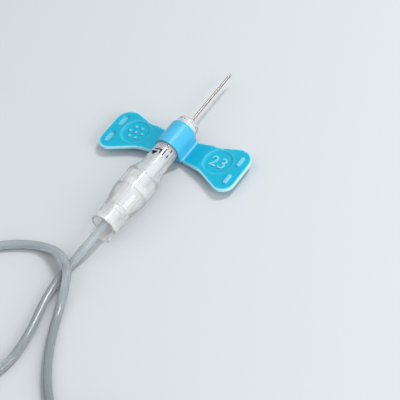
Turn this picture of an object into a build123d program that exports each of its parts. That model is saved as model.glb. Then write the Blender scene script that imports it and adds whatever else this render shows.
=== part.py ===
from build123d import *
import math
import os

# Winged infusion set with a retracting needle, in millimetres.
# +Y points to the needle tip, +X to the right wing, +Z up. The set lies on z = 0.
# Places along the body are depths: the distance behind the front face of the barrel.

# Steel needle, 23 gauge by 3/4 inch
NEEDLE_DIA = 0.64
NEEDLE_ROOT_DIA = 0.60
NEEDLE_BORE = 0.34
NEEDLE_EXPOSED = 19.0
NEEDLE_BOND = 6.0
BEVEL_ANGLE = 20.0
LANCET_ANGLE = 32.0
LANCET_TURN = 38.0

# Clear barrel: collar, neck and the front half of the grip
NECK_FRONT_DIA = 5.60
NECK_REAR_DIA = 5.86
NECK_WALL = 0.55
FRONT_EDGE_ROUND = 0.25
LIP_BORE_DIA = 3.0
LIP_LENGTH = 0.8
COLLAR_LINE_DEPTH = 0.95
LINE_CUT = 0.10
NECK_LENGTH = 15.7
FLARE_LENGTH = 3.2
GRIP_DIA = 8.24
GRIP_WALL = 0.60
GRIP_TO_SEAM = 5.1

# Clear rear cap: the rear half of the grip, open behind, with a longer lower lip
SPIGOT_LENGTH = 2.0
SPIGOT_WALL = 0.55
JOINT_CLEARANCE = 0.02
SEAM_TO_TAPER = 1.2
TAPER_LENGTH = 4.0
REAR_DIA = 6.42
TAIL_LENGTH = 5.1
REAR_WALL = 0.55
REAR_LIP_LENGTH = 2.0
REAR_LIP_TOP = -1.37
STOP_SETBACK = 0.2
STOP_LENGTH = 1.2
FINGER_THICKNESS = 0.35
FINGER_WIDTH_ANGLE = 34.0
FINGER_LEAD_IN = 0.6
FINGER_ANGLES = (0.0, 90.0, 180.0, 270.0)

# Needle carrier, which slides back through the barrel with the tube on its end
NOSE_START = 0.9
NOSE_LENGTH = 7.0
NOSE_CLEARANCE = 0.06
STEM_DIA = 3.1
STEM_INSIDE_TAIL = 1.3
STEM_CLEARANCE = 0.08
FLUID_PATH_DIA = 1.0
GLUE_WELL_DIA = 1.5
GLUE_WELL_DEPTH = 1.2
GLUE_RISE = 0.45
NOSE_GROOVE_CUT = 0.35
NOSE_GROOVE_WIDTH = 1.0
NOSE_GROOVE_PITCH = 2.1
NOSE_GROOVES = 3

# Soft wing moulding: a sleeve over the neck and two wings
SLEEVE_FRONT = 2.3
SLEEVE_LENGTH = 6.9
SLEEVE_DIA = 6.60
SLEEVE_CLEARANCE = 0.02
WING_TIP = 19.27
WING_THICKNESS = 0.80
WING_LIFT = 1.65
WING_BEND = 8.0
WING_ROOT_TOP = 1.45
WING_FRONT_ROOT = 2.35
WING_REAR_ROOT = 8.75
WING_FRONT_WAIST = 2.15
WING_FRONT_WAIST_X = 10.0
WING_REAR_WAIST = 10.35
WING_REAR_WAIST_X = 9.6
WING_FRONT_CORNER = -0.85
WING_REAR_CORNER = 15.15
WAIST_ROUND = 6.0
FRONT_CORNER_ROUND = 3.6
REAR_CORNER_ROUND = 2.9
ROOT_ROUND = 1.0
RING_X = 11.95
RING_DEPTH = 6.0
RING_DIA = 7.28
RING_CUT = 0.36
RING_WALL_TAPER = 55
PAD_WIDTH = 5.0
PAD_FRONT = 3.0
PAD_LENGTH = 4.2
RIB_X = 17.0
RIB_DEPTHS = (4.1, 9.8)
RIB_LENGTH = 2.9
RIB_WIDTH = 0.95
RIB_HEIGHT = 0.36
RIB_ROUND = 0.2
SLOT_CLEARANCE = 0.22
SLOT_CUT = 0.42
DOT_DIA = 0.75
DOT_HEIGHT = 0.24
DOT_ROUND = 0.12
DOT_CIRCLE = 1.75
DOT_COUNT = 6

# Limp tubing, which comes straight out of the stem and lies down on the table
TUBE_DIA = 2.0
TUBE_BORE = 1.1
TUBE_SOCKET = 1.5
RUN_SHARE = 0.45

# Female luer lock connector on the tube's far end
LUER_TAPER = 0.06
LUER_MOUTH_DIA = 4.30
LUER_DEPTH = 8.0
CONNECTOR_LENGTH = 15.0
CONNECTOR_DIA = 6.0
CONNECTOR_SOCKET = 3.0
CONNECTOR_TAIL_DIA = 4.2
CONNECTOR_TAIL = 4.0
CONNECTOR_COLLAR_DIA = 6.8
CONNECTOR_COLLAR = 0.9
CONNECTOR_COLLAR_BACK = 2.2
CONNECTOR_RIBS = 8
CONNECTOR_RIB_WIDTH = 0.6
CONNECTOR_RIB_LENGTH = 6.5
LUG_SPAN = 7.8
LUG_WIDTH = 3.4
LUG_LENGTH = 1.2

# Places that follow from the sizes above
FLARE_START = NECK_LENGTH
SHOULDER = FLARE_START + FLARE_LENGTH
SEAM = SHOULDER + GRIP_TO_SEAM
TAPER_START = SEAM + SEAM_TO_TAPER
TAPER_END = TAPER_START + TAPER_LENGTH
REAR_END = TAPER_END + TAIL_LENGTH
STOP_DEPTH = TAPER_END - STOP_SETBACK
STEM_END = REAR_END - STEM_INSIDE_TAIL
FLARE_ROUND = FLARE_LENGTH * 0.9
SHOULDER_ROUND = FLARE_LENGTH * 0.8
TAPER_ROUND = TAPER_LENGTH * 1.25
AXIS_Z = GRIP_DIA / 2
OBJECT_LENGTH = NEEDLE_EXPOSED + REAR_END + REAR_LIP_LENGTH
FRONT_Y = OBJECT_LENGTH / 2 - NEEDLE_EXPOSED
NECK_BORE_R = NECK_FRONT_DIA / 2 - NECK_WALL + 0.02
CHAMBER_R = GRIP_DIA / 2 - GRIP_WALL
NOSE_R = NECK_BORE_R - NOSE_CLEARANCE
NOSE_END = NOSE_START + NOSE_LENGTH
TRAVEL = STOP_DEPTH - NOSE_END - 0.1

BODY_PLANE = Plane((0, FRONT_Y, AXIS_Z), x_dir=(1, 0, 0), z_dir=(0, 0, 1))
BODY_AXIS = Axis((0, FRONT_Y, AXIS_Z), (0, 1, 0))


def neck_radius(depth):
    """Outer radius of the slightly tapered neck at a depth behind the front face."""
    share = depth / FLARE_START
    return (NECK_FRONT_DIA + (NECK_REAR_DIA - NECK_FRONT_DIA) * share) / 2


def needle_radius(depth):
    """Outer radius of the needle's bonded end, which narrows towards its root."""
    share = depth / (NOSE_START + NEEDLE_BOND)
    return (NEEDLE_DIA + (NEEDLE_ROOT_DIA - NEEDLE_DIA) * share) / 2


def save(part, name):
    """Labels a finished piece and writes its file."""
    part.label = name
    export_step(part, "parts/" + name + ".step")


os.makedirs("parts", exist_ok=True)

# Barrel in front of the seam. Radii run along X and depths along -Y on the body's own plane.
with BuildPart() as front_barrel:
    with BuildSketch(BODY_PLANE):
        with BuildLine():
            outer = FilletPolyline(
                (neck_radius(0), 0),
                (neck_radius(FLARE_START), -FLARE_START),
                (GRIP_DIA / 2, -SHOULDER),
                (GRIP_DIA / 2, -SEAM),
                radius=[FLARE_ROUND, SHOULDER_ROUND],
            )
            inner = Polyline(
                outer @ 1,
                (CHAMBER_R, -SEAM),
                (CHAMBER_R, -SHOULDER - GRIP_WALL),
                (NECK_BORE_R, -FLARE_START - GRIP_WALL),
                (NECK_BORE_R, -LIP_LENGTH),
                (LIP_BORE_DIA / 2, -LIP_LENGTH),
                (LIP_BORE_DIA / 2, 0),
                outer @ 0,
            )
        make_face()
    revolve(axis=BODY_AXIS)
    # Fine grooves: a line round the collar, and the front half of the one along the seam
    with BuildSketch(BODY_PLANE):
        with Locations((neck_radius(COLLAR_LINE_DEPTH), -COLLAR_LINE_DEPTH), (GRIP_DIA / 2, -SEAM)):
            Circle(LINE_CUT)
    revolve(axis=BODY_AXIS, mode=Mode.SUBTRACT)
    front_rim = front_barrel.edges().filter_by(GeomType.CIRCLE).group_by(Axis.Y)[-1].sort_by(SortBy.RADIUS)[-1]
    fillet(front_rim, FRONT_EDGE_ROUND)
save(front_barrel.part, "front_barrel")

# Rear cap. Its spigot sits inside the barrel, and its stop ring ends the carrier's travel.
with BuildPart() as rear_cap:
    with BuildSketch(BODY_PLANE):
        with BuildLine():
            outside = FilletPolyline(
                (GRIP_DIA / 2, -SEAM),
                (GRIP_DIA / 2, -TAPER_START),
                (REAR_DIA / 2, -TAPER_END),
                (REAR_DIA / 2, -REAR_END - REAR_LIP_LENGTH),
                radius=[TAPER_ROUND, TAPER_ROUND],
            )
            Polyline(
                outside @ 1,
                (REAR_DIA / 2 - REAR_WALL, -REAR_END - REAR_LIP_LENGTH),
                (REAR_DIA / 2 - REAR_WALL, -STOP_DEPTH - STOP_LENGTH),
                (STEM_DIA / 2 + STEM_CLEARANCE, -STOP_DEPTH - STOP_LENGTH),
                (STEM_DIA / 2 + STEM_CLEARANCE, -STOP_DEPTH),
                (REAR_DIA / 2 - REAR_WALL, -STOP_DEPTH),
                (CHAMBER_R - JOINT_CLEARANCE - SPIGOT_WALL, -TAPER_START),
                (CHAMBER_R - JOINT_CLEARANCE - SPIGOT_WALL, -SEAM + SPIGOT_LENGTH),
                (CHAMBER_R - JOINT_CLEARANCE, -SEAM + SPIGOT_LENGTH),
                (CHAMBER_R - JOINT_CLEARANCE, -SEAM),
                outside @ 0,
            )
        make_face()
    revolve(axis=BODY_AXIS)
    with BuildSketch(BODY_PLANE):
        with Locations((GRIP_DIA / 2, -SEAM)):
            Circle(LINE_CUT)
    revolve(axis=BODY_AXIS, mode=Mode.SUBTRACT)
    # Above its lower lip the tail is cut back to the rear end of the grip.
    with BuildSketch(Plane.XZ.offset(-FRONT_Y + REAR_END)):
        with Locations((0, AXIS_Z + REAR_LIP_TOP + GRIP_DIA / 2)):
            Rectangle(GRIP_DIA * 1.2, GRIP_DIA)
    extrude(amount=REAR_LIP_LENGTH * 2, mode=Mode.SUBTRACT)
    # Four fingers reach forward from the stop ring and centre the nose once it has come back.
    finger_out = NECK_BORE_R + FINGER_THICKNESS
    nose_parked = NOSE_START + TRAVEL
    for turn in FINGER_ANGLES:
        slice_plane = BODY_PLANE.rotated((0, turn - FINGER_WIDTH_ANGLE / 2, 0))
        with BuildSketch(slice_plane):
            with BuildLine():
                Polyline(
                    (finger_out, -STOP_DEPTH),
                    (NECK_BORE_R, -STOP_DEPTH),
                    (NECK_BORE_R, -nose_parked),
                    (finger_out, -nose_parked + FINGER_LEAD_IN),
                    close=True,
                )
            make_face()
        revolve(axis=BODY_AXIS, revolution_arc=FINGER_WIDTH_ANGLE)
save(rear_cap.part, "rear_cap")

# Needle carrier: a grooved nose that fills the neck, and a stem out to the tube's socket.
with BuildPart() as needle_carrier:
    with BuildSketch(BODY_PLANE):
        with BuildLine():
            Polyline(
                (FLUID_PATH_DIA / 2, -NOSE_START - NEEDLE_BOND),
                (NEEDLE_DIA / 2 + JOINT_CLEARANCE, -NOSE_START - NEEDLE_BOND),
                (NEEDLE_DIA / 2 + JOINT_CLEARANCE, -NOSE_START - GLUE_WELL_DEPTH),
                (GLUE_WELL_DIA / 2, -NOSE_START),
                (NOSE_R, -NOSE_START),
                (NOSE_R, -NOSE_END),
                (STEM_DIA / 2, -NOSE_END),
                (STEM_DIA / 2, -STEM_END),
                (TUBE_DIA / 2 + JOINT_CLEARANCE, -STEM_END),
                (TUBE_DIA / 2 + JOINT_CLEARANCE, -STEM_END + TUBE_SOCKET),
                (FLUID_PATH_DIA / 2, -STEM_END + TUBE_SOCKET),
                close=True,
            )
        make_face()
    revolve(axis=BODY_AXIS)
    with BuildSketch(BODY_PLANE):
        for i in range(NOSE_GROOVES):
            middle = NOSE_END - NOSE_GROOVE_WIDTH - i * NOSE_GROOVE_PITCH
            with Locations((NOSE_R, -middle)):
                Rectangle(NOSE_GROOVE_CUT * 2, NOSE_GROOVE_WIDTH)
    revolve(axis=BODY_AXIS, mode=Mode.SUBTRACT)
    # A rolled edge at the mouth of the tube's socket
    stem_rim = needle_carrier.edges().filter_by(GeomType.CIRCLE).group_by(Axis.Y)[0].sort_by(SortBy.RADIUS)[-1]
    fillet(stem_rim, JOINT_CLEARANCE * 8)
save(needle_carrier.part, "needle_carrier")

# Adhesive round the needle: it fills the well and rises a little up the steel.
with BuildPart() as needle_bond:
    with BuildSketch(BODY_PLANE):
        with BuildLine():
            Polyline(
                (needle_radius(NOSE_START + GLUE_WELL_DEPTH), -NOSE_START - GLUE_WELL_DEPTH),
                (GLUE_WELL_DIA / 2, -NOSE_START),
                (needle_radius(NOSE_START - GLUE_RISE), -NOSE_START + GLUE_RISE),
                close=True,
            )
        make_face()
    revolve(axis=BODY_AXIS)
save(needle_bond.part, "needle_bond")

# Needle: a steel tube with a bevel that faces up, sharpened by two lancet grinds. Behind the
# barrel's front face its bonded end narrows a little towards the root.
bevel_length = NEEDLE_DIA / math.tan(math.radians(BEVEL_ANGLE))
lancet_length = bevel_length * 0.45
with BuildPart() as needle:
    with BuildSketch(Plane.XZ.offset(-FRONT_Y - NEEDLE_EXPOSED)):
        with Locations((0, AXIS_Z)):
            Circle(NEEDLE_DIA / 2)
            Circle(NEEDLE_BORE / 2, mode=Mode.SUBTRACT)
    extrude(amount=NEEDLE_EXPOSED)
    with BuildSketch(BODY_PLANE):
        with BuildLine():
            Polyline(
                (NEEDLE_BORE / 2, 0),
                (NEEDLE_DIA / 2, 0),
                (NEEDLE_ROOT_DIA / 2, -NOSE_START - NEEDLE_BOND),
                (NEEDLE_BORE / 2, -NOSE_START - NEEDLE_BOND),
                close=True,
            )
        make_face()
    revolve(axis=BODY_AXIS)
    tip = FRONT_Y + NEEDLE_EXPOSED
    with BuildSketch(Plane.YZ):
        with BuildLine():
            Polyline(
                (tip, AXIS_Z - NEEDLE_DIA / 2),
                (tip - bevel_length, AXIS_Z + NEEDLE_DIA / 2),
                (tip - bevel_length, AXIS_Z + NEEDLE_DIA),
                (tip + NEEDLE_DIA, AXIS_Z + NEEDLE_DIA),
                (tip + NEEDLE_DIA, AXIS_Z - NEEDLE_DIA / 2),
                close=True,
            )
        make_face()
    extrude(amount=NEEDLE_DIA, both=True, mode=Mode.SUBTRACT)
    for side in (-1, 1):
        grind = Plane(
            (0, tip, AXIS_Z - NEEDLE_DIA / 2),
            x_dir=(0, -math.cos(math.radians(LANCET_ANGLE)), math.sin(math.radians(LANCET_ANGLE))),
            z_dir=(
                side * math.sin(math.radians(LANCET_TURN)),
                math.sin(math.radians(LANCET_ANGLE)) * math.cos(math.radians(LANCET_TURN)),
                math.cos(math.radians(LANCET_ANGLE)) * math.cos(math.radians(LANCET_TURN)),
            ),
        )
        with BuildSketch(grind):
            Rectangle(lancet_length * 3, NEEDLE_DIA * 3)
        extrude(amount=NEEDLE_DIA, mode=Mode.SUBTRACT)
save(needle.part, "needle")


def wing_outline(side):
    """Corners of one wing seen from above, from its root to its tip and back, and their rounds."""
    corners = (
        (0, FRONT_Y - WING_FRONT_ROOT),
        (side * WING_FRONT_WAIST_X, FRONT_Y - WING_FRONT_WAIST),
        (side * WING_TIP, FRONT_Y - WING_FRONT_CORNER),
        (side * WING_TIP, FRONT_Y - WING_REAR_CORNER),
        (side * WING_REAR_WAIST_X, FRONT_Y - WING_REAR_WAIST),
        (side * SLEEVE_DIA / 2, FRONT_Y - WING_REAR_ROOT),
        (0, FRONT_Y - WING_REAR_ROOT),
    )
    rounds = [WAIST_ROUND, FRONT_CORNER_ROUND, REAR_CORNER_ROUND, WAIST_ROUND, ROOT_ROUND]
    return corners, rounds


# Wing moulding: the bent plate of both wings is cut to its outline, then joined to the sleeve.
root_x = SLEEVE_DIA / 2
root_bottom = WING_ROOT_TOP - WING_THICKNESS
with BuildPart() as wing_set:
    with BuildSketch(Plane.XZ.offset(-FRONT_Y + WING_FRONT_CORNER)):
        with BuildLine():
            Polyline(
                (0, root_bottom),
                (root_x, root_bottom),
                (WING_BEND, WING_LIFT),
                (WING_TIP + 1, WING_LIFT),
                (WING_TIP + 1, WING_LIFT + WING_THICKNESS),
                (WING_BEND, WING_LIFT + WING_THICKNESS),
                (root_x, WING_ROOT_TOP),
                (0, WING_ROOT_TOP),
                close=True,
            )
        make_face()
        mirror(about=Plane.YZ)
    extrude(amount=WING_REAR_CORNER - WING_FRONT_CORNER)
    with BuildSketch(Plane.XY) as planform:
        for side in (-1, 1):
            corners, rounds = wing_outline(side)
            with BuildLine():
                edge = FilletPolyline(*corners, radius=rounds)
                Line(edge @ 1, edge @ 0)
            make_face()
    extrude(amount=AXIS_Z, mode=Mode.INTERSECT)
    rim = wing_set.edges().filter_by(lambda e: abs(e.center().X) > WING_BEND + 0.1)
    rim = rim.filter_by(Axis.Z, reverse=True)
    fillet(rim, WING_THICKNESS / 4)
    with BuildSketch(Plane.XZ.offset(-FRONT_Y + SLEEVE_FRONT)):
        with Locations((0, AXIS_Z)):
            Circle(SLEEVE_DIA / 2)
        with Locations((0, (AXIS_Z + WING_ROOT_TOP) / 2)):
            Rectangle(SLEEVE_DIA, AXIS_Z - WING_ROOT_TOP)
    extrude(amount=SLEEVE_LENGTH)
    # A pad under the sleeve keeps the body level on the table.
    with BuildSketch(Plane.XY):
        with Locations((0, FRONT_Y - PAD_FRONT - PAD_LENGTH / 2)):
            RectangleRounded(PAD_WIDTH, PAD_LENGTH, WING_THICKNESS)
    extrude(amount=WING_ROOT_TOP)
    with BuildSketch(BODY_PLANE):
        with BuildLine():
            Polyline(
                (0, 1),
                (neck_radius(0) + SLEEVE_CLEARANCE, 1),
                (neck_radius(FLARE_START) + SLEEVE_CLEARANCE, -FLARE_START),
                (0, -FLARE_START),
                close=True,
            )
        make_face()
    revolve(axis=BODY_AXIS, mode=Mode.SUBTRACT)
    wing_top = WING_LIFT + WING_THICKNESS
    with BuildSketch(Plane.XY.offset(wing_top)):
        with Locations((-RING_X, FRONT_Y - RING_DEPTH), (RING_X, FRONT_Y - RING_DEPTH)):
            Circle(RING_DIA / 2)
    extrude(amount=-RING_CUT, taper=RING_WALL_TAPER, mode=Mode.SUBTRACT)
    # Ribs on the right wing, and slots on the left wing that take them when the wings meet
    with BuildSketch(Plane.XY.offset(wing_top - RING_CUT)):
        for depth in RIB_DEPTHS:
            with Locations((RIB_X, FRONT_Y - depth)):
                SlotOverall(RIB_LENGTH, RIB_WIDTH, rotation=90)
    extrude(amount=RING_CUT + RIB_HEIGHT)
    rib_tops = wing_set.edges().filter_by(lambda e: abs(e.center().Z - wing_top - RIB_HEIGHT) < 0.01)
    fillet(rib_tops.filter_by(lambda e: e.center().X > RIB_X - RIB_WIDTH), RIB_ROUND)
    with BuildSketch(Plane.XY.offset(wing_top)):
        for depth in RIB_DEPTHS:
            with Locations((-RIB_X, FRONT_Y - depth)):
                SlotOverall(RIB_LENGTH + SLOT_CLEARANCE * 2, RIB_WIDTH + SLOT_CLEARANCE * 2, rotation=90)
    extrude(amount=-SLOT_CUT, mode=Mode.SUBTRACT)
    with BuildSketch(Plane.XY.offset(wing_top - RING_CUT)):
        with Locations((-RING_X, FRONT_Y - RING_DEPTH)):
            Circle(DOT_DIA / 2)
            with PolarLocations(DOT_CIRCLE, DOT_COUNT):
                Circle(DOT_DIA / 2)
    extrude(amount=DOT_HEIGHT)
    dots = wing_set.edges().filter_by(GeomType.CIRCLE).filter_by(lambda e: abs(e.radius - DOT_DIA / 2) < 0.01)
    fillet(dots.filter_by(lambda e: e.center().Z > wing_top - RING_CUT + DOT_HEIGHT / 2), DOT_ROUND)
save(wing_set.part, "wing_set")


def corner_radii(points):
    """Radius of the arc at each inner corner, from its shorter run and the angle it turns."""
    radii = []
    for before, corner, after in zip(points, points[1:], points[2:]):
        run_in = Vector(corner) - Vector(before)
        run_out = Vector(after) - Vector(corner)
        half_turn = math.radians(run_in.get_angle(run_out)) / 2
        shorter = min(run_in.length, run_out.length)
        radii.append(RUN_SHARE * shorter / math.tan(half_turn))
    return radii


# The tube's route. It comes out on the axis, drops to the table, makes one loop to the left,
# and passes over itself in a low hump just behind the grip.
lying = TUBE_DIA / 2
crossing = lying + TUBE_DIA * 1.15
CONNECTOR_Z = CONNECTOR_COLLAR_DIA / 2
socket_floor = FRONT_Y - STEM_END + TUBE_SOCKET
TUBE_ROUTE = (
    (0, socket_floor, AXIS_Z),
    (-0.1, -30.0, AXIS_Z),
    (-2.3, -35.7, lying),
    (-2.4, -41.3, lying),
    (-1.4, -47.3, lying),
    (1.1, -55.3, lying),
    (1.9, -63.6, lying),
    (-1.8, -71.3, lying),
    (-9.5, -75.8, lying),
    (-18.5, -74.8, lying),
    (-25.0, -67.8, lying),
    (-28.4, -58.8, lying),
    (-28.2, -49.3, lying),
    (-24.5, -41.4, lying),
    (-17.8, -36.7, lying),
    (-11.0, -34.5, lying),
    (-4.4, -35.8, crossing),
    (0.2, -39.2, crossing),
    (2.5, -45.8, lying),
    (6.2, -54.2, lying),
    (12.0, -63.0, lying),
    (19.0, -69.3, lying),
    (26.0, -70.4, CONNECTOR_Z),
    (32.4, -68.4, CONNECTOR_Z),
)
tube_radii = corner_radii(TUBE_ROUTE)
with BuildPart() as tubing:
    with BuildLine():
        tube_line = FilletPolyline(*TUBE_ROUTE, radius=tube_radii)
    with BuildSketch(Plane(origin=tube_line @ 0, z_dir=tube_line % 0)):
        Circle(TUBE_DIA / 2)
        Circle(TUBE_BORE / 2, mode=Mode.SUBTRACT)
    sweep(path=tube_line)
save(tubing.part, "tubing")
section = math.pi * (TUBE_DIA**2 - TUBE_BORE**2) / 4
print("tube radii", [round(r, 1) for r in tube_radii])
print("tube length", round(tube_line.length, 1))
print("tube volume over section times length", round(tubing.part.volume / (section * tube_line.length), 4))

# Luer connector. Radii run along its plane's X, and lengths along Y from the floor of its socket.
tube_end = Vector(TUBE_ROUTE[-1])
heading = (tube_end - Vector(TUBE_ROUTE[-2])).normalized()
LUER_PLANE = Plane(tube_end, x_dir=(heading.Y, -heading.X, 0), z_dir=(0, 0, 1))
LUER_AXIS = Axis(tube_end, heading)
luer_front = CONNECTOR_LENGTH - CONNECTOR_SOCKET
luer_floor_r = (LUER_MOUTH_DIA - LUER_TAPER * LUER_DEPTH) / 2
collar_start = luer_front - CONNECTOR_COLLAR_BACK - CONNECTOR_COLLAR
with BuildPart() as luer_connector:
    with BuildSketch(LUER_PLANE):
        with BuildLine():
            Polyline(
                (TUBE_BORE / 2, 0),
                (TUBE_DIA / 2 + JOINT_CLEARANCE, 0),
                (TUBE_DIA / 2 + JOINT_CLEARANCE, -CONNECTOR_SOCKET),
                (CONNECTOR_TAIL_DIA / 2, -CONNECTOR_SOCKET),
                (CONNECTOR_TAIL_DIA / 2, CONNECTOR_TAIL - CONNECTOR_SOCKET),
                (CONNECTOR_DIA / 2, CONNECTOR_TAIL - CONNECTOR_SOCKET + 0.9),
                (CONNECTOR_DIA / 2, collar_start),
                (CONNECTOR_COLLAR_DIA / 2, collar_start),
                (CONNECTOR_COLLAR_DIA / 2, collar_start + CONNECTOR_COLLAR),
                (CONNECTOR_DIA / 2, collar_start + CONNECTOR_COLLAR),
                (CONNECTOR_DIA / 2, luer_front),
                (LUER_MOUTH_DIA / 2, luer_front),
                (luer_floor_r, luer_front - LUER_DEPTH),
                (TUBE_BORE / 2, luer_front - LUER_DEPTH),
                close=True,
            )
        make_face()
    revolve(axis=LUER_AXIS)
    # Grip ribs between the collar and the tail, the lowest of which lies on the table
    with BuildSketch(Plane(tube_end + heading * collar_start, x_dir=LUER_PLANE.x_dir, z_dir=-heading)):
        with PolarLocations((CONNECTOR_DIA + CONNECTOR_COLLAR_DIA) / 4 - 0.1, CONNECTOR_RIBS):
            Rectangle((CONNECTOR_COLLAR_DIA - CONNECTOR_DIA) / 2 + 0.2, CONNECTOR_RIB_WIDTH)
    extrude(amount=CONNECTOR_RIB_LENGTH)
    # Two lugs at the mouth for the lock's thread
    with BuildSketch(Plane(tube_end + heading * luer_front, x_dir=LUER_PLANE.x_dir, z_dir=-heading)):
        Rectangle(LUG_SPAN, LUG_WIDTH)
        Circle(CONNECTOR_DIA / 2 - 0.1, mode=Mode.SUBTRACT)
    extrude(amount=LUG_LENGTH)
save(luer_connector.part, "luer_connector")
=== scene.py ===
# %% [markdown]
# # A winged infusion set
# This lesson dresses a small medical part: a steel needle in a clear barrel, two soft blue wings,
# and a limp clear tube with a luer connector. The solids come from the CAD model, in metres, and
# the scene gives them their finishes and the small things that are too fine for the solids.

# %% Load the frame
import math

import bpy
import bmesh
from mathutils import Matrix, Vector
from mathutils.kdtree import KDTree


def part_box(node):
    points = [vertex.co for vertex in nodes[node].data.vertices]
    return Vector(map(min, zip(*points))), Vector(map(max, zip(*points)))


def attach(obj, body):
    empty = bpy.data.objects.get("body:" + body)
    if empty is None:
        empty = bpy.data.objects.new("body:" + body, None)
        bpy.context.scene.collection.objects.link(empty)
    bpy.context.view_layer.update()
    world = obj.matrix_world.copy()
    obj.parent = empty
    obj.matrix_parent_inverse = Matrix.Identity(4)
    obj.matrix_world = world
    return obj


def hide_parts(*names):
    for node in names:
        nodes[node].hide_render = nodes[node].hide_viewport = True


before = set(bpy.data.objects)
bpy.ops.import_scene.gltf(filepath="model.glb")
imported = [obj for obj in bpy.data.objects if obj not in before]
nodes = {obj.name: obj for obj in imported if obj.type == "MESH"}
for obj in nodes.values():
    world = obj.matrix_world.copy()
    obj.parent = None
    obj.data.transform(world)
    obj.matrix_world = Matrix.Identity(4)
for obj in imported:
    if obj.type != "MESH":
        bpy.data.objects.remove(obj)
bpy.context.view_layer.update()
print("nodes", sorted(nodes))

# %% [markdown]
# Sizes here are in millimetres, and one value turns them to Blender's metres. The places along the
# body are measured back from the barrel's front face, and heights from its axis, so both are read
# from the solids.

# %% Places read from the solids
MM = 0.001
barrel_low, barrel_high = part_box("front_barrel")
wing_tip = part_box("wing_set")[1].x / MM
FRONT_Y = barrel_high.y / MM
AXIS_Z = (barrel_low.z + barrel_high.z) / 2 / MM
print("barrel front", round(FRONT_Y, 3), "axis height", round(AXIS_Z, 3))
print("wing tip", round(wing_tip, 2))

# %% [markdown]
# ## Camera
# The photograph was taken from above, behind and to the right of the set, with a long lens. The
# camera stands at that angle round a point near the barrel, and leans a little to its left.

# %% Camera
CAMERA_TARGET = Vector((9.943, FRONT_Y - 13.0, -4.697)) * MM
CAMERA_DISTANCE = 285.7 * MM
CAMERA_AZIMUTH = math.radians(45.85)
CAMERA_ELEVATION = math.radians(47.14)
CAMERA_ROLL = math.radians(-15.95)
CAMERA_LENS = 110.99
SENSOR_WIDTH = 36


def place_camera():
    """Adds the camera on its long lens, turned about its line of sight by the roll."""
    back = Vector((
        math.sin(CAMERA_AZIMUTH) * math.cos(CAMERA_ELEVATION),
        -math.cos(CAMERA_AZIMUTH) * math.cos(CAMERA_ELEVATION),
        math.sin(CAMERA_ELEVATION),
    ))
    camera = bpy.data.objects.new("camera", bpy.data.cameras.new("camera"))
    bpy.context.scene.collection.objects.link(camera)
    camera.data.lens = CAMERA_LENS
    camera.data.sensor_width = SENSOR_WIDTH
    camera.data.clip_start = 0.01
    camera.data.clip_end = 20
    stand = Matrix.Translation(CAMERA_TARGET + back * CAMERA_DISTANCE)
    level = back.to_track_quat("Z", "Y").to_matrix().to_4x4()
    camera.matrix_world = stand @ level @ Matrix.Rotation(CAMERA_ROLL, 4, "Z")
    bpy.context.scene.camera = camera
    return camera


camera = place_camera()
print("camera", [round(v, 4) for v in camera.matrix_world.translation])

# %% [markdown]
# ## Materials
# Colours are written as the sRGB hex values that a picture editor shows. One function turns them
# to the linear values that the shader wants, and one adds a node with its settings and links.

# %% Colour and node helpers
def linear(hex_colour):
    """An sRGB hex colour, such as "59B7DC", as linear red, green, blue and alpha."""
    channels = [int(hex_colour[i : i + 2], 16) / 255 for i in (0, 2, 4)]
    bright = [c / 12.92 if c <= 0.04045 else ((c + 0.055) / 1.055) ** 2.4 for c in channels]
    return (*bright, 1.0)


def add_node(material, kind, settings=None, links=None):
    """Adds a node, sets its properties and input values, and links outputs into its inputs."""
    node = material.node_tree.nodes.new(kind)
    for name, value in (settings or {}).items():
        if isinstance(name, int) or name in node.inputs:
            node.inputs[name].default_value = value
        else:
            setattr(node, name, value)
    for name, source in (links or {}).items():
        material.node_tree.links.new(source, node.inputs[name])
    return node


def new_material(name, **sockets):
    """A material with one Principled shader, whose sockets are given by name."""
    material = bpy.data.materials.new(name)
    material.use_nodes = True
    shader = material.node_tree.nodes["Principled BSDF"]
    for socket, value in sockets.items():
        shader.inputs[socket.replace("_", " ")].default_value = value
    return material, shader


def dress(obj, material):
    """Gives a piece its one material."""
    obj.data.materials.clear()
    obj.data.materials.append(material)


print("white as a linear colour", linear("FFFFFF"))

# %% [markdown]
# The wings and their sleeve are one moulding of soft PVC, coloured through. The sleeve is smooth,
# with a broad sheen, and the wings are duller. The material tells them apart by the distance from
# the middle, and paints the sleeve a paler blue, as painted light from the white barrel under it.
# Light goes a little way into soft PVC, which softens its edges.
#
# A painted highlight, a pale line, runs along the crease where the wing bends away from the
# sleeve, below the sleeve's side. The rims get painted light too, by a value that the mesh
# carries. The mould leaves a grain finer than a tenth of a millimetre. It is drawn at half a
# millimetre, because a finer one wouldn't show.

# %% Soft blue wing PVC
SLEEVE_HALF = 3.3
# The sleeve's paler blue is painted light from the white barrel under it; the moulding is one
# colour.
SLEEVE_PAINTED_BLUE = "49B5DC"
WING_BLUE = "00ADCD"
# Pale blue of painted light, mixed in at the rims, the relief and the crease.
HIGHLIGHT_BLUE = "B3EAFA"
SLEEVE_ROUGHNESS = 0.38
WING_ROUGHNESS = 0.55
WING_START = SLEEVE_HALF * 1.02
WING_FULL = SLEEVE_HALF * 1.25
CREASE_X = 3.4
CREASE_CORE = 0.04
CREASE_HALF = 0.28
# Strength of the painted highlight along the crease.
CREASE_HIGHLIGHT = 0.6
CREASE_FULL_Z = 1.75
CREASE_END_Z = 2.0
LIGHT_DEPTH = 0.5
GRAIN_SIZE = 0.5
GRAIN_DEPTH = 0.05
GRAIN_STRENGTH = 0.08


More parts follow.
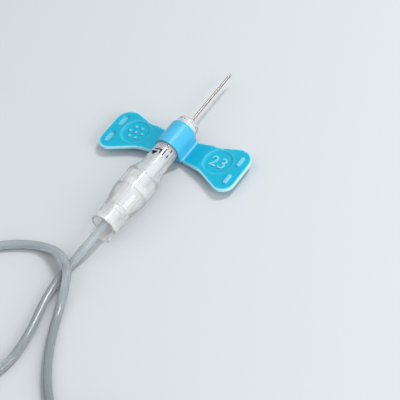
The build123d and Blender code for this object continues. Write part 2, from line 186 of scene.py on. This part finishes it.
def soft_blue_pvc():
    """Soft PVC: a paler sleeve tone and pale rims, relief and crease, all painted light, and a
    faint grain.
    """
    material, shader = new_material(
        "soft_blue_pvc",
        IOR=1.53,
        Specular_IOR_Level=0.3,
        Subsurface_Weight=0.2,
        Subsurface_Radius=(0.35, 0.8, 1.0),
        Subsurface_Scale=LIGHT_DEPTH * MM,
    )
    place = add_node(material, "ShaderNodeTexCoord")
    sides = add_node(
        material, "ShaderNodeSeparateXYZ", links={"Vector": place.outputs["Object"]}
    )
    away = add_node(
        material, "ShaderNodeMath", {"operation": "ABSOLUTE"}, {0: sides.outputs["X"]}
    )
    on_wing = add_node(
        material,
        "ShaderNodeMapRange",
        {"From Min": WING_START * MM, "From Max": WING_FULL * MM},
        {"Value": away.outputs[0]},
    )
    # Painted light: the sleeve gets a paler blue than the wings, for the white barrel under it.
    sleeve_painted_tone = add_node(
        material,
        "ShaderNodeMix",
        {"data_type": "RGBA", 6: linear(SLEEVE_PAINTED_BLUE), 7: linear(WING_BLUE)},
        {0: on_wing.outputs["Result"]},
    )
    satin = add_node(
        material,
        "ShaderNodeMapRange",
        {"To Min": SLEEVE_ROUGHNESS, "To Max": WING_ROUGHNESS},
        {"Value": on_wing.outputs["Result"]},
    )
    material.node_tree.links.new(satin.outputs["Result"], shader.inputs["Roughness"])

    # A painted highlight: a pale line along the crease, low on the wing's root.
    from_crease = add_node(
        material,
        "ShaderNodeMath",
        {"operation": "SUBTRACT", 1: CREASE_X * MM},
        {0: away.outputs[0]},
    )
    crease_gap = add_node(
        material, "ShaderNodeMath", {"operation": "ABSOLUTE"}, {0: from_crease.outputs[0]}
    )
    crease = add_node(
        material,
        "ShaderNodeMapRange",
        {
            "From Min": CREASE_CORE * MM,
            "From Max": CREASE_HALF * MM,
            "To Min": CREASE_HIGHLIGHT,
            "To Max": 0.0,
        },
        {"Value": crease_gap.outputs[0]},
    )
    low_down = add_node(
        material,
        "ShaderNodeMapRange",
        {
            "From Min": CREASE_FULL_Z * MM,
            "From Max": CREASE_END_Z * MM,
            "To Min": 1.0,
            "To Max": 0.0,
        },
        {"Value": sides.outputs["Z"]},
    )
    low_crease_highlight = add_node(
        material,
        "ShaderNodeMath",
        {"operation": "MULTIPLY"},
        {0: crease.outputs["Result"], 1: low_down.outputs["Result"]},
    )

    # Painted light at the rims and the relief, carried by the mesh.
    rim_light = add_node(material, "ShaderNodeAttribute", {"attribute_name": "rim_light"})
    painted_light = add_node(
        material,
        "ShaderNodeMath",
        {"operation": "MAXIMUM"},
        {0: low_crease_highlight.outputs[0], 1: rim_light.outputs["Fac"]},
    )
    highlight_tone = add_node(
        material,
        "ShaderNodeMix",
        {"data_type": "RGBA", 7: linear(HIGHLIGHT_BLUE)},
        {0: painted_light.outputs[0], 6: sleeve_painted_tone.outputs[2]},
    )
    material.node_tree.links.new(highlight_tone.outputs[2], shader.inputs["Base Color"])

    grain = add_node(
        material,
        "ShaderNodeTexNoise",
        {"Scale": 1 / (GRAIN_SIZE * MM), "Detail": 2.0},
        {"Vector": place.outputs["Object"]},
    )
    bump = add_node(
        material,
        "ShaderNodeBump",
        {"Strength": GRAIN_STRENGTH, "Distance": GRAIN_DEPTH * MM},
        {"Height": grain.outputs["Fac"]},
    )
    material.node_tree.links.new(bump.outputs["Normal"], shader.inputs["Normal"])
    return material


wing_pvc = soft_blue_pvc()
print(wing_pvc.name, "nodes", len(wing_pvc.node_tree.nodes))

# %% [markdown]
# ## Wings
# The moulding's own solid is copied, so that its shape stays the CAD model's. Its loose triangles
# are joined at their corners, and its long edges are cut, because only points can carry a value.

# %% Mesh helpers
WING_CELL = 0.55
WELD = 0.0005
MOST_CUTS = 7


def joined_copy(node_name):
    """A bmesh of a solid's triangles, joined at their corners."""
    shape = bmesh.new()
    shape.from_mesh(nodes[node_name].data)
    bmesh.ops.remove_doubles(shape, verts=shape.verts, dist=WELD * MM)
    return shape


def cut_long_edges(shape, longest):
    """Halves every edge that is longer than this, until none is left."""
    for _ in range(MOST_CUTS):
        long_edges = [e for e in shape.edges if e.calc_length() > longest]
        if not long_edges:
            break
        bmesh.ops.subdivide_edges(shape, edges=long_edges, cuts=1)
        bmesh.ops.triangulate(shape, faces=shape.faces)


wing_shape = joined_copy("wing_set")
cut_long_edges(wing_shape, WING_CELL * MM)
print("wing points", len(wing_shape.verts))

# %% [markdown]
# The mesh carries a value of painted light. It is one at the wings' outer wall and fades within a
# third of a millimetre, as painted light where thin soft plastic glows with light from the side.
# Raised bars and dots, the floors of the left wing's slots and the edge of each round recess get a
# part of it as painted highlights, since they catch light in the same way.

# %% Painted light at rims and relief
RIM_LIGHT_WIDTH = 0.32
WALL_START = SLEEVE_HALF * 1.1
WALL_HEIGHT = 0.3
UNDERSIDE_NORMAL = -0.8
WING_BEND = 8.0
WING_UNDER_ROOT = 0.65
WING_UNDER_TIP = 1.65
WING_TOP = 2.45
RING_X = 11.95
RING_Y = FRONT_Y - 6.0
RING_RADIUS = 7.28 / 2
RING_CUT = 0.36
# Painted highlights on the relief, as shares of the pale blue.
BAR_HIGHLIGHT = 0.4
RING_HIGHLIGHT = 0.15
SLOT_HIGHLIGHT = 0.35
STEP = 0.1
HAIR = 0.02
DOT_MARGIN = 0.6
SLOT_MARGIN = 0.2


def wing_underside(x):
    """Height in millimetres of the wings' underside at a distance from the middle."""
    share = min(max((abs(x) - SLEEVE_HALF) / (WING_BEND - SLEEVE_HALF), 0), 1)
    return WING_UNDER_ROOT + (WING_UNDER_TIP - WING_UNDER_ROOT) * share


def relief_highlight(place):
    """Painted highlight on the bars on the wing, the recess's edge and dots, and the slots'
    floors.
    """
    from_ring = math.hypot(abs(place.x) - RING_X, place.y - RING_Y)
    on_left = place.x < 0
    if place.z > WING_TOP + STEP:
        return BAR_HIGHLIGHT
    if place.z > WING_TOP - HAIR and abs(from_ring - RING_RADIUS) < HAIR:
        return RING_HIGHLIGHT
    above_floor = place.z > WING_TOP - RING_CUT + STEP
    if on_left and from_ring < RING_RADIUS - DOT_MARGIN and above_floor:
        return BAR_HIGHLIGHT
    in_slot = WING_UNDER_TIP + STEP < place.z < WING_TOP - STEP
    if on_left and from_ring > RING_RADIUS + SLOT_MARGIN and in_slot:
        return SLOT_HIGHLIGHT
    return 0.0


def is_outer_wall(v):
    """Whether a point is low on the wings' outer wall, and not on their underside."""
    return (
        abs(v.co.x) > WALL_START * MM
        and v.normal.z > UNDERSIDE_NORMAL
        and v.co.z < (wing_underside(v.co.x / MM) + WALL_HEIGHT) * MM
    )


def paint_rim_light(shape):
    """Gives each point its painted light, from its distance to the wings' outer wall."""
    rim_light = shape.verts.layers.float.new("rim_light")
    shape.normal_update()
    wall = [v for v in shape.verts if is_outer_wall(v)]
    tree = KDTree(len(wall))
    for i, v in enumerate(wall):
        tree.insert(Vector((v.co.x, v.co.y, 0)), i)
    tree.balance()
    for v in shape.verts:
        distance = tree.find(Vector((v.co.x, v.co.y, 0)))[2] / MM
        beside_sleeve = abs(v.co.x) > SLEEVE_HALF * MM
        v[rim_light] = max(0.0, 1.0 - distance / RIM_LIGHT_WIDTH) if beside_sleeve else 0.0
        if abs(v.co.x) > WING_BEND * MM:
            v[rim_light] = max(v[rim_light], relief_highlight(v.co / MM))
    print("wall points", len(wall), "of", len(shape.verts))


paint_rim_light(wing_shape)

# %% [markdown]
# Every piece that the scene adds is made in the same way. Its bmesh becomes a mesh whose points
# are already in place, so the object stays at the origin. The piece then rides on one of the two
# bodies, and the solid that it replaces, if any, is hidden.

# %% Piece helpers
SMOOTH_DEGREES = 32


def shade(obj, degrees):
    """Shades an object smooth, with sharp edges where its faces turn more than this."""
    bpy.ops.object.select_all(action="DESELECT")
    obj.select_set(True)
    bpy.context.view_layer.objects.active = obj
    bpy.ops.object.shade_smooth_by_angle(angle=math.radians(degrees))


def finish_piece(
    shape, name, body, material, replaced=(), smooth_degrees=SMOOTH_DEGREES
):
    """Turns a bmesh into a piece that rides on a body, with its material and smooth shading."""
    mesh = bpy.data.meshes.new(name)
    shape.to_mesh(mesh)
    shape.free()
    obj = bpy.data.objects.new(name, mesh)
    bpy.context.scene.collection.objects.link(obj)
    dress(obj, material)
    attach(obj, body)
    if replaced:
        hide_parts(*replaced)
    shade(obj, smooth_degrees)
    print(name, "faces", len(mesh.polygons))


finish_piece(wing_shape, "wings", "housing", wing_pvc, ["wing_set"])

# %% [markdown]
# The needle's gauge stands in raised numerals in the right wing's round recess. On the real wing
# they are cut into the mould. Here Blender's own text is made a mesh with rounded edges, and moved
# to the recess point by point. The font's digits are seven tenths as high as its size. Their tops
# get the same painted highlight as the bars.

# %% Gauge numerals
NUMERAL_HEIGHT = 3.0
NUMERAL_RAISE = 0.30
NUMERAL_ROUNDING = 0.07
NUMERAL_THINNING = 0.015
NUMERAL_FOOT = 0.05
NUMERAL_WELD = 0.001
NUMERAL_SPACING = 1.1
NUMERAL_SMOOTH_DEGREES = 40
DIGIT_SHARE = 0.7


def numeral_mesh(letters):
    """A mesh of raised text round the origin, as high as the numerals are in the recess."""
    text = bpy.data.curves.new("gauge_text", "FONT")
    text.body = letters
    text.align_x = "CENTER"
    text.align_y = "CENTER"
    text.size = NUMERAL_HEIGHT / DIGIT_SHARE * MM
    text.space_character = NUMERAL_SPACING
    text.extrude = NUMERAL_RAISE / 2 * MM
    text.bevel_depth = NUMERAL_ROUNDING * MM
    text.bevel_resolution = 2
    text.offset = -NUMERAL_THINNING * MM
    holder = bpy.data.objects.new("gauge_text", text)
    bpy.context.scene.collection.objects.link(holder)
    flattened = holder.evaluated_get(bpy.context.evaluated_depsgraph_get())
    mesh = bpy.data.meshes.new_from_object(flattened)
    bpy.data.objects.remove(holder)
    return mesh


def gauge_numerals():
    """Sets the gauge in the middle of the right wing's recess."""
    shape = bmesh.new()
    shape.from_mesh(numeral_mesh("23"))
    bmesh.ops.remove_doubles(shape, verts=shape.verts, dist=NUMERAL_WELD * MM)
    xs = [v.co.x for v in shape.verts]
    ys = [v.co.y for v in shape.verts]
    floor_z = WING_TOP - RING_CUT
    to_recess = Vector((
        RING_X * MM - (min(xs) + max(xs)) / 2,
        RING_Y * MM - (min(ys) + max(ys)) / 2,
        floor_z * MM,
    ))
    bmesh.ops.translate(shape, verts=shape.verts, vec=to_recess)
    # The numerals' tops get a painted highlight, as the bars do.
    painted_light = shape.verts.layers.float.new("rim_light")
    for v in shape.verts:
        v[painted_light] = BAR_HIGHLIGHT if v.co.z > floor_z * MM + NUMERAL_FOOT * MM else 0.0
    finish_piece(
        shape, "gauge_numerals", "housing", wing_pvc,
        smooth_degrees=NUMERAL_SMOOTH_DEGREES,
    )


gauge_numerals()

# %% [markdown]
# ## Clear plastics
# The barrel and its rear cap are hard clear plastic. Moulded plastic is never as clean as glass,
# so a share of the light scatters at each wall, and the body looks milky where walls lie behind
# each other. It grows milkier over the last millimetres, and the rear lip shows as a white edge.
# The carrier inside is natural, milky plastic. The tube is soft clear PVC, and the connector and
# the adhesive are clear and hard.
#
# The clear walls cast no shadow. With one, the inside would be dark, because a path of light that
# bends in a wall seldom meets a lamp.

# %% Clear moulded plastic
BARREL_CLEARNESS = 0.76
LIP_CLEARNESS = 0.5
CLOUD_START = 32.4
CLOUD_END = 36.3


def clear_plastic(name, tint, roughness, clearness, ior):
    """A see-through plastic. What isn't let through is scattered, which looks milky."""
    return new_material(
        name,
        Base_Color=linear(tint),
        Roughness=roughness,
        IOR=ior,
        Transmission_Weight=clearness,
    )[0]


def cloud_tail(material):
    """Makes the barrel's plastic milkier towards the lip, by the depth behind its front."""
    place = add_node(material, "ShaderNodeTexCoord")
    sides = add_node(
        material, "ShaderNodeSeparateXYZ", links={"Vector": place.outputs["Object"]}
    )
    fade = add_node(
        material,
        "ShaderNodeMapRange",
        {
            "From Min": (FRONT_Y - CLOUD_END) * MM,
            "From Max": (FRONT_Y - CLOUD_START) * MM,
            "To Min": LIP_CLEARNESS,
            "To Max": BARREL_CLEARNESS,
        },
        {"Value": sides.outputs["Y"]},
    )
    shader = material.node_tree.nodes["Principled BSDF"]
    material.node_tree.links.new(fade.outputs["Result"], shader.inputs["Transmission Weight"])


barrel_plastic = clear_plastic("clear_barrel_plastic", "FCFEFF", 0.06, BARREL_CLEARNESS, 1.45)
cloud_tail(barrel_plastic)
carrier_plastic = clear_plastic("milky_carrier_plastic", "D8E6EF", 0.5, 0.14, 1.45)
tube_pvc = clear_plastic("clear_tube_pvc", "DBE7EC", 0.12, 0.7, 1.40)
connector_plastic = clear_plastic("clear_connector_plastic", "F4F8FA", 0.10, 0.6, 1.45)
adhesive = clear_plastic("clear_adhesive", "F0F4F4", 0.08, 0.7, 1.5)
dress(nodes["front_barrel"], barrel_plastic)
dress(nodes["rear_cap"], barrel_plastic)
dress(nodes["needle_carrier"], carrier_plastic)
dress(nodes["luer_connector"], connector_plastic)
dress(nodes["needle_bond"], adhesive)
for see_through in ("front_barrel", "rear_cap", "needle_bond"):
    nodes[see_through].visible_shadow = False
print("materials", [material.name for material in bpy.data.materials])

# %% [markdown]
# ## Needle
# The needle is drawn stainless tube. Drawing leaves lines along it that are far too fine to show,
# and they spread its highlights, so it looks satin. The bevel at the tip is ground after that. It
# faces other ways than the tube and catches other light, so its faces get a rougher finish of
# their own, in a paler tone that is a painted highlight.

# %% Needle steel
BEVEL_LENGTH = 1.9
BEVEL_FACING = 0.1


def steel(name, tone, roughness):
    """A bare metal. Its tone is the colour of its reflections."""
    return new_material(name, Base_Color=linear(tone), Metallic=1.0, Roughness=roughness)[0]


def brighten_bevel(needle, bevel_highlight_steel):
    """Gives the bevel's faces at the tip their own rougher finish, with a painted highlight in its
    paler tone.
    """
    needle.data.materials.append(bevel_highlight_steel)
    tip_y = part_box("needle")[1].y
    ground_faces = [
        face for face in needle.data.polygons
        if face.center.y > tip_y - BEVEL_LENGTH * MM and face.normal.y > BEVEL_FACING
    ]
    for face in ground_faces:
        face.material_index = 1
    print("ground faces", len(ground_faces))


dress(nodes["needle"], steel("drawn_stainless_steel", "AFA5A2", 0.38))
# The bevel's paler steel tone is a painted highlight.
brighten_bevel(nodes["needle"], steel("ground_steel_painted_highlight", "EDEAE8", 0.5))

# %% [markdown]
# ## Printed marks
# Marks are printed on the neck just behind the wings, with a soft pad that follows its curve. The
# black triangle points the way in which the needle is drawn back. A bracket beside it is a painted
# shadow of the triangle, made in the same way. Each mark is a flat shape of ink's thickness that
# is bent round the neck. Ink is matt, so the barrel's highlight breaks there.

# %% Ink marks
NECK_FRONT_RADIUS = 2.80
NECK_REAR_RADIUS = 2.93
NECK_LENGTH = 15.7
INK_THICKNESS = 0.02
INK_LIFT = INK_THICKNESS * 1.2
MARK_CUTS = 2
DASH_WIDTH = 0.3


def matt_dark_coat(name, hex_colour):
    """A matt dark coat that hides what is under it, for print and for painted shadow."""
    return new_material(
        name, Base_Color=linear(hex_colour), Roughness=0.7, Specular_IOR_Level=0.15
    )[0]


def bend_round_neck(shape):
    """Wraps a flat shape round the neck: x becomes the way round, and -y the depth."""
    for v in shape.verts:
        depth = -v.co.y / MM
        widening = (NECK_REAR_RADIUS - NECK_FRONT_RADIUS) * depth / NECK_LENGTH
        radius = NECK_FRONT_RADIUS + widening + INK_LIFT
        angle = v.co.x / MM / radius
        height = radius * MM + v.co.z
        v.co = Vector((
            math.sin(angle) * height,
            (FRONT_Y - depth) * MM,
            AXIS_Z * MM + math.cos(angle) * height,
        ))


def mark_on_neck(name, corners, material):
    """A flat mark for print, and for the bracket's painted shadow. Its corners are millimetres
    round the neck from the top, and depths.
    """
    shape = bmesh.new()
    points = [shape.verts.new((around * MM, -depth * MM, 0)) for around, depth in corners]
    shape.faces.new(points)
    bmesh.ops.triangulate(shape, faces=shape.faces)
    for _ in range(MARK_CUTS):
        bmesh.ops.subdivide_edges(shape, edges=shape.edges, cuts=1, use_grid_fill=True)
        bmesh.ops.triangulate(shape, faces=shape.faces)
    bmesh.ops.recalc_face_normals(shape, faces=shape.faces)
    if next(iter(shape.faces)).normal.z < 0:
        bmesh.ops.reverse_faces(shape, faces=shape.faces)
    bmesh.ops.solidify(shape, geom=shape.faces, thickness=INK_THICKNESS * MM)
    bend_round_neck(shape)
    bmesh.ops.recalc_face_normals(shape, faces=shape.faces)
    finish_piece(shape, name, "housing", material)


print("neck radius", NECK_FRONT_RADIUS, "to", NECK_REAR_RADIUS, "over", NECK_LENGTH)

# %% [markdown]
# The triangle is black print. The bracket beside it is painted shadow of the triangle, black at
# its front and grey at its side. Short grey dashes lie beside the bracket, along the neck.

# %% The marks
ARROW = [(-1.45, 12.3), (0.35, 12.3), (-0.35, 13.6)]
BRACKET_FRONT = [(-0.9, 11.65), (0.95, 11.2), (0.95, 11.6), (-0.9, 11.95)]
BRACKET_SIDE = [(0.66, 11.6), (0.98, 11.6), (0.98, 12.6), (0.66, 12.6)]
NECK_DASHES = (
    (1.15, 9.4, 9.9),
    (1.5, 10.0, 10.8),
    (1.5, 11.1, 12.6),
    (2.7, 9.9, 10.6),
    (2.7, 11.5, 12.5),
)

# Both coats serve the print and the bracket's painted shadow.
black_ink_and_shadow = matt_dark_coat("black_pad_ink_and_painted_shadow", "0C0D10")
grey_ink_and_shadow = matt_dark_coat("grey_ink_and_painted_shadow", "2E353C")
mark_on_neck("arrow_mark", ARROW, black_ink_and_shadow)
# The bracket is painted shadow of the triangle: black at its front, grey at its side.
mark_on_neck("chevron_front", BRACKET_FRONT, black_ink_and_shadow)
mark_on_neck("chevron_side", BRACKET_SIDE, grey_ink_and_shadow)
for i, (around, start, end) in enumerate(NECK_DASHES):
    far = around + DASH_WIDTH
    corners = [(around, start), (far, start), (far, end), (around, end)]
    mark_on_neck(f"neck_dash_{i + 1}", corners, grey_ink_and_shadow)

# %% [markdown]
# ## Tube
# The tube is limp. It comes out of the carrier on the axis, drops to the table, and loops
# over itself behind the grip, where its upper stretch lies a little more than one diameter higher.
# A curve of the same points as the solid carries a round profile, so it stays smooth all along.

# %% Tube
TUBE_DIA = 2.0
STEM_END = 33.0
TUBE_SOCKET = 1.5
LYING_Z = TUBE_DIA / 2
CROSSING_LIFT = 1.15
CROSSING_Z = LYING_Z + TUBE_DIA * CROSSING_LIFT
CONNECTOR_Z = 3.4
TUBE_ROUTE = (
    (0, FRONT_Y - STEM_END + TUBE_SOCKET, AXIS_Z),
    (-0.1, -30.0, AXIS_Z),
    (-2.3, -35.7, LYING_Z),
    (-2.4, -41.3, LYING_Z),
    (-1.4, -47.3, LYING_Z),
    (1.1, -55.3, LYING_Z),
    (1.9, -63.6, LYING_Z),
    (-1.8, -71.3, LYING_Z),
    (-9.5, -75.8, LYING_Z),
    (-18.5, -74.8, LYING_Z),
    (-25.0, -67.8, LYING_Z),
    (-28.4, -58.8, LYING_Z),
    (-28.2, -49.3, LYING_Z),
    (-24.5, -41.4, LYING_Z),
    (-17.8, -36.7, LYING_Z),
    (-11.0, -34.5, LYING_Z),
    (-4.4, -35.8, CROSSING_Z),
    (0.2, -39.2, CROSSING_Z),
    (2.5, -45.8, LYING_Z),
    (6.2, -54.2, LYING_Z),
    (12.0, -63.0, LYING_Z),
    (19.0, -69.3, LYING_Z),
    (26.0, -70.4, CONNECTOR_Z),
    (32.4, -68.4, CONNECTOR_Z),
)


def tube_curve(name, points, diameter):
    """A round cord along control points in millimetres."""
    curve = bpy.data.curves.new(name, "CURVE")
    curve.dimensions = "3D"
    curve.bevel_depth = diameter / 2 * MM
    curve.bevel_resolution = 6
    curve.resolution_u = 12
    curve.use_fill_caps = True
    spline = curve.splines.new("NURBS")
    spline.points.add(len(points) - 1)
    for point, (x, y, z) in zip(spline.points, points):
        point.co = (x * MM, y * MM, z * MM, 1)
    spline.order_u = 3
    spline.use_endpoint_u = True
    obj = bpy.data.objects.new(name, curve)
    bpy.context.scene.collection.objects.link(obj)
    return obj


tube = tube_curve("tube", TUBE_ROUTE, TUBE_DIA)
dress(tube, tube_pvc)
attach(tube, "carrier")
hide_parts("tubing")

# %% [markdown]
# ## Table and light
# The set lies on a plain pale table that keeps its shadow. A long narrow lamp stands high in front
# and to the right, and draws the thin bright line along the clear body. A broad soft lamp lights
# the right side, and a weak one fills the left. The world gives the rest, a little brighter
# overhead. Together they show the table at a little more than its written colour.

# %% Table
TABLE_HALF = 2.0


def pale_table():
    """A plain level floor at the height on which the set lies."""
    floor_mesh = bpy.data.meshes.new("table")
    shape = bmesh.new()
    bmesh.ops.create_grid(shape, x_segments=1, y_segments=1, size=TABLE_HALF)
    shape.to_mesh(floor_mesh)
    shape.free()
    floor = bpy.data.objects.new("table", floor_mesh)
    bpy.context.scene.collection.objects.link(floor)
    material, _ = new_material("pale_table", Base_Color=linear("CFD5D9"), Roughness=0.9)
    floor_mesh.materials.append(material)


pale_table()
print("table", TABLE_HALF * 2, "m wide")


# %% Lamps
def soft_lamp(name, place, size, power, colour="FFFFFF"):
    """A soft lamp that faces the middle of the set. Its place and size are in millimetres."""
    lamp = bpy.data.lights.new(name, "AREA")
    lamp.shape = "RECTANGLE"
    lamp.size = size[0] * MM
    lamp.size_y = size[1] * MM
    lamp.energy = power
    lamp.color = linear(colour)[:3]
    obj = bpy.data.objects.new(name, lamp)
    bpy.context.scene.collection.objects.link(obj)
    turn = Vector(place).normalized().to_track_quat("Z", "Y").to_matrix().to_4x4()
    obj.matrix_world = Matrix.Translation(Vector(place) * MM) @ turn
    print(name, "lamp", place, size, power)


soft_lamp("key", (134, 237, 420), (24, 130), 1.1)
soft_lamp("side", (420, -60, 200), (260, 260), 1.21, "FFFCF8")
soft_lamp("fill", (-300, -120, 320), (300, 300), 0.14)

# %% World
WORLD_STRENGTH = 0.59
HORIZON = "D5D9DD"
ZENITH = "FFFFFF"

world = bpy.data.worlds.new("studio")
bpy.context.scene.world = world
world.use_nodes = True
sky = world.node_tree.nodes["Background"]
sky.inputs["Strength"].default_value = WORLD_STRENGTH
direction = add_node(world, "ShaderNodeTexCoord")
height = add_node(
    world, "ShaderNodeSeparateXYZ", links={"Vector": direction.outputs["Generated"]}
)
brightness = add_node(
    world,
    "ShaderNodeMix",
    {"data_type": "RGBA", 6: linear(HORIZON), 7: linear(ZENITH)},
    {0: height.outputs["Z"]},
)
world.node_tree.links.new(brightness.outputs[2], sky.inputs["Color"])
bpy.context.scene.view_settings.view_transform = "Standard"
bpy.context.scene.cycles.caustics_reflective = False
bpy.context.scene.cycles.caustics_refractive = False
print("world strength", WORLD_STRENGTH)

# %% [markdown]
# ## Smooth shading and the end
# The solids come as triangles. Faces that meet at a small angle belong to one round surface, so
# they are shaded smooth, and real edges stay sharp.

# %% Finish
for name, node in nodes.items():
    if not node.hide_render:
        shade(node, SMOOTH_DEGREES)
        print(name, "faces", len(node.data.polygons))
